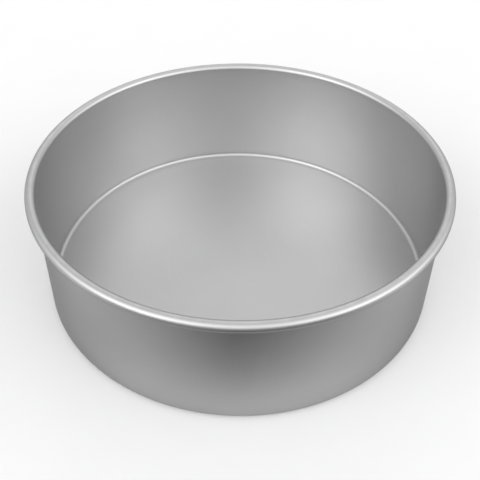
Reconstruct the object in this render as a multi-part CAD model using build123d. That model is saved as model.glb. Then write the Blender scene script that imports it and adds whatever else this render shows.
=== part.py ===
from build123d import *
import math
import os

# A deep round cake tin, drawn from one aluminium sheet, with a wired rim.
# The origin is the middle of the underside, and +Z points up out of the tin.

# Driving dimensions of the tin, in millimetres
inner_diameter = 228.6
tin_height = 76.2
sheet_thickness = 1.2
inner_corner_radius = 3.0

# Driving dimensions of the rim
wire_diameter = 3.3
wire_clearance = 0.05
curl_end_gap = 0.2
wire_end_gap = 0.5

# The wall
inner_radius = inner_diameter / 2
outer_radius = inner_radius + sheet_thickness
outer_corner_radius = inner_corner_radius + sheet_thickness

# The curl, whose inner face is a round channel for the wire and whose centre is (curl_x, curl_z)
channel_radius = wire_diameter / 2 + wire_clearance
curl_radius = channel_radius + sheet_thickness
curl_x = inner_radius + curl_radius
curl_z = tin_height - curl_radius

# The curl starts level with its centre, goes up, out and back under, and stops short of the wall
curl_start_angle = 180.0
curl_end_reach = curl_x - outer_radius - curl_end_gap
curl_turn = curl_start_angle + math.degrees(math.acos(-curl_end_reach / curl_radius))
curl_end_angle = curl_start_angle - curl_turn

# The wire's two ends face each other across a small gap
wire_turn = 360.0 - math.degrees(wire_end_gap / curl_x)


def point_on_curl(radius):
    """The point at the curl's free edge, at a radius from the curl's centre."""
    angle = math.radians(curl_end_angle)
    return (curl_x + radius * math.cos(angle), curl_z + radius * math.sin(angle))


def make_tin_body():
    """Base, wall and curled rim in one sheet, as one section turned about Z."""
    corner_x = inner_radius - inner_corner_radius
    corner_z = sheet_thickness + inner_corner_radius
    with BuildPart() as body:
        with BuildSketch(Plane.XZ):
            with BuildLine():
                # Inside face, from the middle of the base out and up to the rim
                Line((0, sheet_thickness), (corner_x, sheet_thickness))
                CenterArc((corner_x, corner_z), inner_corner_radius, -90, 90)
                Line((inner_radius, corner_z), (inner_radius, curl_z))
                # Round the curl, over its free edge and back along the channel
                CenterArc((curl_x, curl_z), curl_radius, curl_start_angle, -curl_turn)
                Line(point_on_curl(curl_radius), point_on_curl(channel_radius))
                CenterArc((curl_x, curl_z), channel_radius, curl_end_angle, curl_turn)
                # Outside face, down the wall and in to the middle of the underside
                Line((outer_radius, curl_z), (outer_radius, corner_z))
                CenterArc((corner_x, corner_z), outer_corner_radius, 0, -90)
                Line((corner_x, 0), (0, 0))
                Line((0, 0), (0, sheet_thickness))
            make_face()
        revolve(axis=Axis.Z)
    return body.part


def make_rim_wire():
    """The ring of wire that stiffens the rim, from one piece of round wire."""
    with BuildPart() as wire:
        with BuildSketch(Plane.XZ):
            with Locations((curl_x, curl_z)):
                Circle(wire_diameter / 2)
        revolve(axis=Axis.Z, revolution_arc=wire_turn)
    return wire.part


# One file for each piece
pieces = {
    "tin_body": make_tin_body(),
    "rim_wire": make_rim_wire(),
}
os.makedirs("parts", exist_ok=True)
for name, piece in pieces.items():
    export_step(piece, "parts/" + name + ".step")
    box = piece.bounding_box()
    print(name, "volume", round(piece.volume, 1), "mm3, from", box.min, "to", box.max)
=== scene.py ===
import math

import bmesh
import bpy
from mathutils import Matrix, Vector


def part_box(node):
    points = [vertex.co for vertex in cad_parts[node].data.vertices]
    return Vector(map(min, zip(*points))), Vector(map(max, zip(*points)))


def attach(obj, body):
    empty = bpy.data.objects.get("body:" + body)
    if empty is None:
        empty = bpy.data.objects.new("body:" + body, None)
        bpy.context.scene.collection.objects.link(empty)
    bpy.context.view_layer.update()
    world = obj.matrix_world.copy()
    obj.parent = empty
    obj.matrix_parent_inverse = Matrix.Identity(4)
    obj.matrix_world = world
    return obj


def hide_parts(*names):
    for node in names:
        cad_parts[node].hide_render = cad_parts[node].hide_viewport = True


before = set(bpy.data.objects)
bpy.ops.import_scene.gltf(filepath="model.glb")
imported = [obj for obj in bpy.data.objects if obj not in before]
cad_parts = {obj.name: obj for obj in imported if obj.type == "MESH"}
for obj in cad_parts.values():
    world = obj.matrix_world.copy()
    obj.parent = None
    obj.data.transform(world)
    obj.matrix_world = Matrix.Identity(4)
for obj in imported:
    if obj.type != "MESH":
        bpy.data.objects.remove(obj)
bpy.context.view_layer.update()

# The round cake tin: one satin anodised sheet with a wired rim, standing on a white table.
# Lengths are in metres, angles in degrees. +Z is up and the camera looks along +Y.

MM = 0.001

# Sizes read from the frame
body_low, body_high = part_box("tin_body")
wire_low, wire_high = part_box("rim_wire")
TIN_HEIGHT = body_high.z
RIM_RADIUS = min(body_high.x, body_high.y, -body_low.x, -body_low.y)
WIRE_RADIUS = (wire_high.z - wire_low.z) / 2
CURL_Z = (wire_high.z + wire_low.z) / 2
CURL_RADIUS = TIN_HEIGHT - CURL_Z

# Sizes of the sheet
SHEET = 1.2 * MM
INSIDE_CORNER = 3.0 * MM
CURL_END_GAP = 0.2 * MM

# Worked out from those
CURL_X = RIM_RADIUS - CURL_RADIUS
INNER_RADIUS = CURL_X - CURL_RADIUS
OUTER_RADIUS = INNER_RADIUS + SHEET
CHANNEL_RADIUS = CURL_RADIUS - SHEET
CORNER_X = INNER_RADIUS - INSIDE_CORNER
CORNER_Z = SHEET + INSIDE_CORNER
CURL_START = 180.0
CURL_END = -math.degrees(math.acos((OUTER_RADIUS + CURL_END_GAP - CURL_X) / CURL_RADIUS))

# How finely the section is turned and divided
TURN_STEPS = 288
BASE_RINGS = 24
WALL_RINGS = 20
CORNER_STEPS = 10
CURL_STEPS = 56


def arc(centre_x, centre_z, radius, start, end, steps):
    """Points of the section along an arc, both ends included, angles in degrees from +X."""
    points = []
    for step in range(steps + 1):
        angle = math.radians(start + (end - start) * step / steps)
        points.append((centre_x + radius * math.cos(angle), centre_z + radius * math.sin(angle)))
    return points


def run(start, end, steps):
    """Points along a straight stretch of the section, without its two ends."""
    points = []
    for step in range(1, steps):
        share = step / steps
        points.append((start[0] + (end[0] - start[0]) * share, start[1] + (end[1] - start[1]) * share))
    return points


def tin_section():
    """The sheet's section, from the middle of the floor round the rim to the middle of the underside."""
    floor_middle = (0.0, SHEET)
    under_middle = (0.0, 0.0)
    inside_corner = arc(CORNER_X, CORNER_Z, INSIDE_CORNER, -90, 0, CORNER_STEPS)
    curl_outside = arc(CURL_X, CURL_Z, CURL_RADIUS, CURL_START, CURL_END, CURL_STEPS)
    curl_inside = arc(CURL_X, CURL_Z, CHANNEL_RADIUS, CURL_END, CURL_START, CURL_STEPS // 2)
    outside_corner = arc(CORNER_X, CORNER_Z, INSIDE_CORNER + SHEET, 0, -90, CORNER_STEPS)
    points = [floor_middle]
    points += run(floor_middle, inside_corner[0], BASE_RINGS)
    points += inside_corner
    points += run(inside_corner[-1], curl_outside[0], WALL_RINGS)
    points += curl_outside
    points += curl_inside
    points += run(curl_inside[-1], outside_corner[0], WALL_RINGS)
    points += outside_corner
    points += run(outside_corner[-1], under_middle, BASE_RINGS)
    points.append(under_middle)
    return points


def turn(name, section, steps):
    """A closed mesh made by turning a section about Z. The section starts and ends on the axis."""
    mesh = bpy.data.meshes.new(name)
    shape = bmesh.new()
    first = shape.verts.new((0.0, 0.0, section[0][1]))
    last = shape.verts.new((0.0, 0.0, section[-1][1]))
    rings = []
    for x, z in section[1:-1]:
        ring = []
        for step in range(steps):
            angle = 2 * math.pi * step / steps
            ring.append(shape.verts.new((x * math.cos(angle), x * math.sin(angle), z)))
        rings.append(ring)
    for step in range(steps):
        after = (step + 1) % steps
        shape.faces.new((first, rings[0][step], rings[0][after]))
        shape.faces.new((last, rings[-1][after], rings[-1][step]))
        for ring, following in zip(rings, rings[1:]):
            shape.faces.new((ring[step], following[step], following[after], ring[after]))
    for face in shape.faces:
        face.smooth = True
    shape.to_mesh(mesh)
    shape.free()
    made = bpy.data.objects.new(name, mesh)
    bpy.context.scene.collection.objects.link(made)
    return made


# The tin's satin anodising: greys, roughness, and the sizes of its marks
ANODISED_DARK = (0.605, 0.605, 0.607, 1.0)
ANODISED_LIGHT = (0.665, 0.665, 0.665, 1.0)
RUBBED_GREY = (0.70, 0.70, 0.70, 1.0)
GLANCING_TINT = (0.65, 0.65, 0.65, 1.0)
ANODISED_ROUGHNESS = (0.41, 0.35)
RUBBED_SMOOTHER = 0.06
GRAIN_SIZE = 0.4 * MM
CLOUD_SIZE = 70 * MM
RUB_PATCH_SIZE = 6 * MM
SPIN_SPACING = 0.9 * MM
SPIN_SHARE = 0.4
SPIN_DEPTH = 0.5e-3 * MM
GRAIN_DEPTH = 2e-3 * MM
SPECKLE_RANGE = (0.7, 1.7)
RUB_RANGE = (0.35, 0.65)
CREST_DEPTH = 0.5 * MM
UNDERSIDE_DEPTH = 0.25 * MM

# The wire's drawn finish
WIRE_DARK = (0.50, 0.50, 0.51, 1.0)
WIRE_LIGHT = (0.62, 0.62, 0.62, 1.0)
WIRE_ROUGHNESS = (0.36, 0.26)
WIRE_RANGE = (0.6, 1.4)
DIE_LINE_SPACING = 0.15 * MM
DIE_LINE_DEPTH = 3e-3 * MM
WIRE_CLOUD_SIZE = 12 * MM

# The table's white
TABLE_WHITES = ((0.93, 0.93, 0.93, 1.0), (0.95, 0.95, 0.95, 1.0))
TABLE_ROUGHNESS = 0.9
TABLE_CLOUD_SIZE = 40 * MM

NOISE_DETAIL = 2.0


def new_material(name):
    """A material with only its output and a Principled shader, and its nodes, links and shader."""
    material = bpy.data.materials.new(name)
    material.use_nodes = True
    nodes, links = material.node_tree.nodes, material.node_tree.links
    nodes.clear()
    output = nodes.new("ShaderNodeOutputMaterial")
    shader = nodes.new("ShaderNodeBsdfPrincipled")
    links.new(shader.outputs["BSDF"], output.inputs["Surface"])
    return material, nodes, links, shader


def new_group(name, inputs, output):
    """A shader node group with named inputs and one float output, and its nodes, links and ends."""
    group = bpy.data.node_groups.new(name, "ShaderNodeTree")
    for label, kind in inputs:
        group.interface.new_socket(label, in_out="INPUT", socket_type=kind)
    group.interface.new_socket(output, in_out="OUTPUT", socket_type="NodeSocketFloat")
    nodes, links = group.nodes, group.links
    return group, nodes, links, nodes.new("NodeGroupInput"), nodes.new("NodeGroupOutput")


def feed(links, socket, value):
    """Link a socket to the value, or set the value on it."""
    if isinstance(value, bpy.types.NodeSocket):
        links.new(value, socket)
    else:
        socket.default_value = value


def use_group(nodes, links, group, **values):
    """A group node with its inputs fed by name, and its output."""
    node = nodes.new("ShaderNodeGroup")
    node.node_tree = group
    for label, value in values.items():
        feed(links, node.inputs[label], value)
    return node.outputs[0]


def math_node(nodes, links, operation, first, second=None):
    """A Math node's result, from two numbers or sockets."""
    node = nodes.new("ShaderNodeMath")
    node.operation = operation
    feed(links, node.inputs[0], first)
    if second is not None:
        feed(links, node.inputs[1], second)
    return node.outputs["Value"]


def spread(nodes, links, value, low, high, from_low=0.0, from_high=1.0):
    """A value mapped from one range to another and kept inside it."""
    node = nodes.new("ShaderNodeMapRange")
    feed(links, node.inputs["Value"], value)
    node.inputs["From Min"].default_value = from_low
    node.inputs["From Max"].default_value = from_high
    node.inputs["To Min"].default_value = low
    node.inputs["To Max"].default_value = high
    return node.outputs["Result"]


def blend(nodes, links, share, first, second):
    """A colour between two colours."""
    node = nodes.new("ShaderNodeMix")
    node.data_type = "RGBA"
    feed(links, node.inputs["Factor"], share)
    for socket, value in zip([end for end in node.inputs if end.type == "RGBA"], (first, second)):
        feed(links, socket, value)
    return [end for end in node.outputs if end.type == "RGBA"][0]


def bump(nodes, links, height, depth, under=None):
    """A normal bent by a height, whose full range is the depth in metres."""
    node = nodes.new("ShaderNodeBump")
    node.inputs["Strength"].default_value = 1.0
    node.inputs["Distance"].default_value = depth
    links.new(height, node.inputs["Height"])
    if under is not None:
        links.new(under, node.inputs["Normal"])
    return node.outputs["Normal"]


def grain_group():
    """Even speckle with grains of a given size, from 0 to 1."""
    group, nodes, links, given, result = new_group(
        "grain", [("Position", "NodeSocketVector"), ("Size", "NodeSocketFloat")], "Grain")
    noise = nodes.new("ShaderNodeTexNoise")
    noise.inputs["Detail"].default_value = NOISE_DETAIL
    links.new(given.outputs["Position"], noise.inputs["Vector"])
    links.new(math_node(nodes, links, "DIVIDE", 1.0, given.outputs["Size"]), noise.inputs["Scale"])
    links.new(noise.outputs["Fac"], result.inputs["Grain"])
    return group


def tool_marks_group():
    """Fine lines that run round the Z axis, as a turning or drawing tool leaves them, from 0 to 1."""
    group, nodes, links, given, result = new_group(
        "tool_marks", [("Position", "NodeSocketVector"), ("Spacing", "NodeSocketFloat")], "Marks")
    flat = nodes.new("ShaderNodeVectorMath")
    flat.operation = "MULTIPLY"
    flat.inputs[1].default_value = (1.0, 1.0, 0.0)
    links.new(given.outputs["Position"], flat.inputs[0])
    reach = nodes.new("ShaderNodeVectorMath")
    reach.operation = "LENGTH"
    links.new(flat.outputs["Vector"], reach.inputs[0])
    outward = nodes.new("ShaderNodeVectorMath")
    outward.operation = "NORMALIZE"
    links.new(flat.outputs["Vector"], outward.inputs[0])
    outward_parts = nodes.new("ShaderNodeSeparateXYZ")
    links.new(outward.outputs["Vector"], outward_parts.inputs["Vector"])
    parts = nodes.new("ShaderNodeSeparateXYZ")
    links.new(given.outputs["Position"], parts.inputs["Vector"])
    across = nodes.new("ShaderNodeCombineXYZ")
    links.new(math_node(nodes, links, "DIVIDE", reach.outputs["Value"], given.outputs["Spacing"]),
              across.inputs["X"])
    links.new(math_node(nodes, links, "DIVIDE", parts.outputs["Z"], given.outputs["Spacing"]),
              across.inputs["Y"])
    links.new(outward_parts.outputs["X"], across.inputs["Z"])
    noise = nodes.new("ShaderNodeTexNoise")
    noise.noise_dimensions = "4D"
    noise.inputs["Scale"].default_value = 1.0
    noise.inputs["Detail"].default_value = NOISE_DETAIL
    links.new(across.outputs["Vector"], noise.inputs["Vector"])
    links.new(outward_parts.outputs["Y"], noise.inputs["W"])
    links.new(noise.outputs["Fac"], result.inputs["Marks"])
    return group


grain_nodes = grain_group()
tool_marks_nodes = tool_marks_group()


def anodised_aluminium():
    """Satin silver anodising over fine even grain and faint marks of spinning, rubbed on its edges."""
    material, nodes, links, shader = new_material("satin_anodised_aluminium")
    shader.inputs["Metallic"].default_value = 1.0
    shader.inputs["Specular Tint"].default_value = GLANCING_TINT
    position = nodes.new("ShaderNodeTexCoord").outputs["Object"]
    grain = use_group(nodes, links, grain_nodes, Position=position, Size=GRAIN_SIZE)
    clouds = use_group(nodes, links, grain_nodes, Position=position, Size=CLOUD_SIZE)
    marks = use_group(nodes, links, tool_marks_nodes, Position=position, Spacing=SPIN_SPACING)
    patches = use_group(nodes, links, grain_nodes, Position=position, Size=RUB_PATCH_SIZE)
    # Rubbing on the crest of the rim and on the underside
    parts = nodes.new("ShaderNodeSeparateXYZ")
    links.new(position, parts.inputs["Vector"])
    height = parts.outputs["Z"]
    crest = spread(nodes, links, height, 0.0, 1.0, TIN_HEIGHT - CREST_DEPTH, TIN_HEIGHT)
    underside = spread(nodes, links, height, 1.0, 0.0, 0.0, UNDERSIDE_DEPTH)
    edges = math_node(nodes, links, "ADD", crest, underside)
    rubbed = math_node(
        nodes, links, "MULTIPLY", edges, spread(nodes, links, patches, 0.0, 1.0, *RUB_RANGE))
    speckle = math_node(nodes, links, "ADD", grain, clouds)
    faint_marks = math_node(nodes, links, "MULTIPLY", marks, SPIN_SHARE)
    speckle = math_node(nodes, links, "ADD", speckle, faint_marks)
    share = spread(nodes, links, speckle, 0.0, 1.0, *SPECKLE_RANGE)
    tone = blend(nodes, links, share, ANODISED_DARK, ANODISED_LIGHT)
    tone = blend(nodes, links, rubbed, tone, RUBBED_GREY)
    links.new(tone, shader.inputs["Base Color"])
    roughness = spread(nodes, links, speckle, *ANODISED_ROUGHNESS, *SPECKLE_RANGE)
    smoother = math_node(nodes, links, "MULTIPLY", rubbed, RUBBED_SMOOTHER)
    roughness = math_node(nodes, links, "SUBTRACT", roughness, smoother)
    links.new(roughness, shader.inputs["Roughness"])
    normal = bump(nodes, links, marks, SPIN_DEPTH)
    links.new(bump(nodes, links, grain, GRAIN_DEPTH, normal), shader.inputs["Normal"])
    return material


def drawn_wire():
    """Plain bright aluminium wire, with fine lines along it from the die."""
    material, nodes, links, shader = new_material("drawn_aluminium_wire")
    shader.inputs["Metallic"].default_value = 1.0
    position = nodes.new("ShaderNodeTexCoord").outputs["Object"]
    marks = use_group(nodes, links, tool_marks_nodes, Position=position, Spacing=DIE_LINE_SPACING)
    clouds = use_group(nodes, links, grain_nodes, Position=position, Size=WIRE_CLOUD_SIZE)
    mixed = math_node(nodes, links, "ADD", marks, clouds)
    share = spread(nodes, links, mixed, 0.0, 1.0, *WIRE_RANGE)
    tone = blend(nodes, links, share, WIRE_DARK, WIRE_LIGHT)
    links.new(tone, shader.inputs["Base Color"])
    roughness = spread(nodes, links, mixed, *WIRE_ROUGHNESS, *WIRE_RANGE)
    links.new(roughness, shader.inputs["Roughness"])
    links.new(bump(nodes, links, marks, DIE_LINE_DEPTH), shader.inputs["Normal"])
    return material


def table_white():
    """A matt white table top, clouded a very little."""
    material, nodes, links, shader = new_material("table_white")
    shader.inputs["Roughness"].default_value = TABLE_ROUGHNESS
    position = nodes.new("ShaderNodeTexCoord").outputs["Object"]
    clouds = use_group(nodes, links, grain_nodes, Position=position, Size=TABLE_CLOUD_SIZE)
    links.new(blend(nodes, links, clouds, *TABLE_WHITES), shader.inputs["Base Color"])
    return material


def painted_reflection_paper():
    """Matt grey paper, as dark in each place as the card's mesh says: painted reflection, seen only in
    the tin's reflections.
    """
    material, nodes, links, shader = new_material("painted_reflection_paper")
    shades = nodes.new("ShaderNodeVertexColor")
    shades.layer_name = "shade"
    links.new(shades.outputs["Color"], shader.inputs["Base Color"])
    shader.inputs["Roughness"].default_value = 1.0
    shader.inputs["Specular IOR Level"].default_value = 0.0
    return material


# The tin
tin_shell = turn("tin_shell", tin_section(), TURN_STEPS)
tin_shell.data.materials.append(anodised_aluminium())
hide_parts("tin_body")
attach(tin_shell, "root")

rim_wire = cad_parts["rim_wire"]
rim_wire.data.materials.clear()
rim_wire.data.materials.append(drawn_wire())

# The table
TABLE_HALF = 30.0
table_mesh = bpy.data.meshes.new("table_top")
table_mesh.from_pydata(
    [(-TABLE_HALF, -TABLE_HALF, 0), (TABLE_HALF, -TABLE_HALF, 0),
     (TABLE_HALF, TABLE_HALF, 0), (-TABLE_HALF, TABLE_HALF, 0)], [], [(0, 1, 2, 3)])
table_top = bpy.data.objects.new("table_top", table_mesh)
bpy.context.scene.collection.objects.link(table_top)
table_mesh.materials.append(table_white())

# The camera, placed by its distance and height angle from the middle of the rim
CAMERA_DISTANCE = 3.4972 * RIM_RADIUS
CAMERA_ELEVATION = 36.5975
CAMERA_PAN = 0.9347
CAMERA_TILT = -3.3313
CAMERA_ROLL = -0.5245
FRAME_PIXELS = 480
FOCAL_PIXELS = 738.7
CENTRE_PIXEL = (227.04, 208.45)
SENSOR = 36.0
NEAREST_SEEN = 10 * MM

elevation = math.radians(CAMERA_ELEVATION)
rim_middle = Vector((0, 0, TIN_HEIGHT))
camera_place = rim_middle + CAMERA_DISTANCE * Vector((0, -math.cos(elevation), math.sin(elevation)))
camera_data = bpy.data.cameras.new("camera")
camera_data.sensor_width = SENSOR
camera_data.lens = SENSOR * FOCAL_PIXELS / FRAME_PIXELS
camera_data.shift_x = 0.5 - CENTRE_PIXEL[0] / FRAME_PIXELS
camera_data.shift_y = CENTRE_PIXEL[1] / FRAME_PIXELS - 0.5
camera_data.clip_start = NEAREST_SEEN
camera = bpy.data.objects.new("camera", camera_data)
bpy.context.scene.collection.objects.link(camera)
forward = (rim_middle - camera_place).normalized()
right = forward.cross(Vector((0, 0, 1))).normalized()
up = right.cross(forward)
pan = Matrix.Rotation(math.radians(CAMERA_PAN), 3, up)
forward = pan @ forward
right = pan @ right
tilt = Matrix.Rotation(math.radians(CAMERA_TILT), 3, right)
forward = tilt @ forward
up = tilt @ up
roll = Matrix.Rotation(math.radians(CAMERA_ROLL), 3, forward)
right = roll @ right
up = roll @ up
axes = Matrix((right, up, -forward)).transposed()
camera.matrix_world = Matrix.Translation(camera_place) @ axes.to_4x4()
bpy.context.scene.camera = camera

# The light: a white tent lit from outside, with soft bright patches all round it,
# and one over the camera that is dimmer than the tent
TENT_WALL = 0.55
PATCH_SHARPNESS = 10.0
TENT_PATCHES = (
    # angle round from +X, angle up, brightness in the middle added to the tent's
    (0, 14, 0.79),
    (60, 61, 0.18),
    (90, 38, 0.33),
    (180, 14, 0.23),
    (210, 14, 0.20),
    (210, 38, 1.17),
    (240, 38, 0.94),
    (270, 50, -0.12),
    (300, 38, 0.46),
    (330, 38, 0.86),
    (330, 14, 0.53),
)


def direction(around, upward):
    """The unit vector at an angle round from +X and an angle up from level."""
    around, upward = math.radians(around), math.radians(upward)
    return (
        math.cos(upward) * math.cos(around), math.cos(upward) * math.sin(around), math.sin(upward))


def soft_patch(nodes, links, towards, middle, brightness):
    """The light of a round patch of the tent, which fades smoothly away from its middle."""
    cosine = nodes.new("ShaderNodeVectorMath")
    cosine.operation = "DOT_PRODUCT"
    links.new(towards, cosine.inputs[0])
    cosine.inputs[1].default_value = middle
    short_of_one = math_node(nodes, links, "SUBTRACT", cosine.outputs["Value"], 1.0)
    fall = math_node(nodes, links, "MULTIPLY", short_of_one, PATCH_SHARPNESS)
    glow = math_node(nodes, links, "EXPONENT", fall)
    return math_node(nodes, links, "MULTIPLY", glow, brightness)


world = bpy.data.worlds.new("studio")
bpy.context.scene.world = world
world.use_nodes = True
tent_nodes, tent_links = world.node_tree.nodes, world.node_tree.links
background = tent_nodes["Background"]
background.inputs["Color"].default_value = (1, 1, 1, 1)
towards = tent_nodes.new("ShaderNodeTexCoord").outputs["Generated"]
total = TENT_WALL
for around, upward, brightness in TENT_PATCHES:
    patch = soft_patch(tent_nodes, tent_links, towards, direction(around, upward), brightness)
    total = math_node(tent_nodes, tent_links, "ADD", patch, total)
tent_links.new(total, background.inputs["Strength"])

# A grey card that rises all round the tin and stands in for the room round the table. Only the tin
# mirrors it: its shades are painted reflection, darkest in front of the tin, that darken and lighten the
# tin's mirror image by angle.
CARD_RINGS = (
    # distance from the axis, height
    (113.5 * MM, 0.2 * MM),
    (133 * MM, 2 * MM),
    (162 * MM, 15 * MM),
    (215 * MM, 49 * MM),
    (300 * MM, 110 * MM),
)
CARD_STEP = 30
PAINTED_REFLECTION_SHADES = (
    # every CARD_STEP degrees round from +X: shades of painted reflection at the rings, from the tin
    # outwards
    (0.36, 0.40, 0.58, 0.60, 0.60),
    (0.44, 0.50, 0.62, 0.62, 0.62),
    (0.52, 0.56, 0.60, 0.60, 0.60),
    (0.54, 0.58, 0.58, 0.58, 0.58),
    (0.52, 0.56, 0.60, 0.60, 0.60),
    (0.44, 0.50, 0.62, 0.62, 0.62),
    (0.36, 0.40, 0.58, 0.60, 0.60),
    (0.46, 0.63, 0.78, 0.78, 0.78),
    (0.60, 0.74, 0.44, 0.27, 0.48),
    (0.66, 0.59, 0.02, 0.29, 0.52),
    (0.60, 0.74, 0.38, 0.20, 0.48),
    (0.46, 0.63, 0.78, 0.78, 0.78),
)
CARD_STRIPS = 72


def painted_reflection_shade(angle, ring):
    """The card's shade of painted reflection at an angle in degrees, between the two nearest rows of the
    table.
    """
    row, past = divmod(angle / CARD_STEP, 1.0)
    before = PAINTED_REFLECTION_SHADES[int(row) % len(PAINTED_REFLECTION_SHADES)][ring]
    after = PAINTED_REFLECTION_SHADES[(int(row) + 1) % len(PAINTED_REFLECTION_SHADES)][ring]
    return before + (after - before) * past


def painted_reflection_card():
    """The card's mesh, with its shades of painted reflection, visible in the tin's reflections only."""
    corners, shades, faces = [], [], []
    rings = len(CARD_RINGS)
    for strip in range(CARD_STRIPS):
        turned = 360.0 * strip / CARD_STRIPS
        angle = math.radians(turned)
        for ring, (reach, height) in enumerate(CARD_RINGS):
            corners.append((reach * math.cos(angle), reach * math.sin(angle), height))
            shades.append(painted_reflection_shade(turned, ring))
        here = strip * rings
        beside = (strip + 1) % CARD_STRIPS * rings
        for ring in range(rings - 1):
            faces.append((here + ring, here + ring + 1, beside + ring + 1, beside + ring))
    mesh = bpy.data.meshes.new("card")
    mesh.from_pydata(corners, [], faces)
    layer = mesh.color_attributes.new("shade", "FLOAT_COLOR", "POINT")
    for spot, shade in zip(layer.data, shades):
        spot.color = (shade, shade, shade, 1.0)
    mesh.materials.append(painted_reflection_paper())
    card = bpy.data.objects.new("card", mesh)
    bpy.context.scene.collection.objects.link(card)
    card.visible_camera = False
    card.visible_shadow = False
    card.visible_diffuse = False
    return card


card = painted_reflection_card()

bpy.context.scene.view_settings.view_transform = "Standard"

bpy.context.view_layer.update()
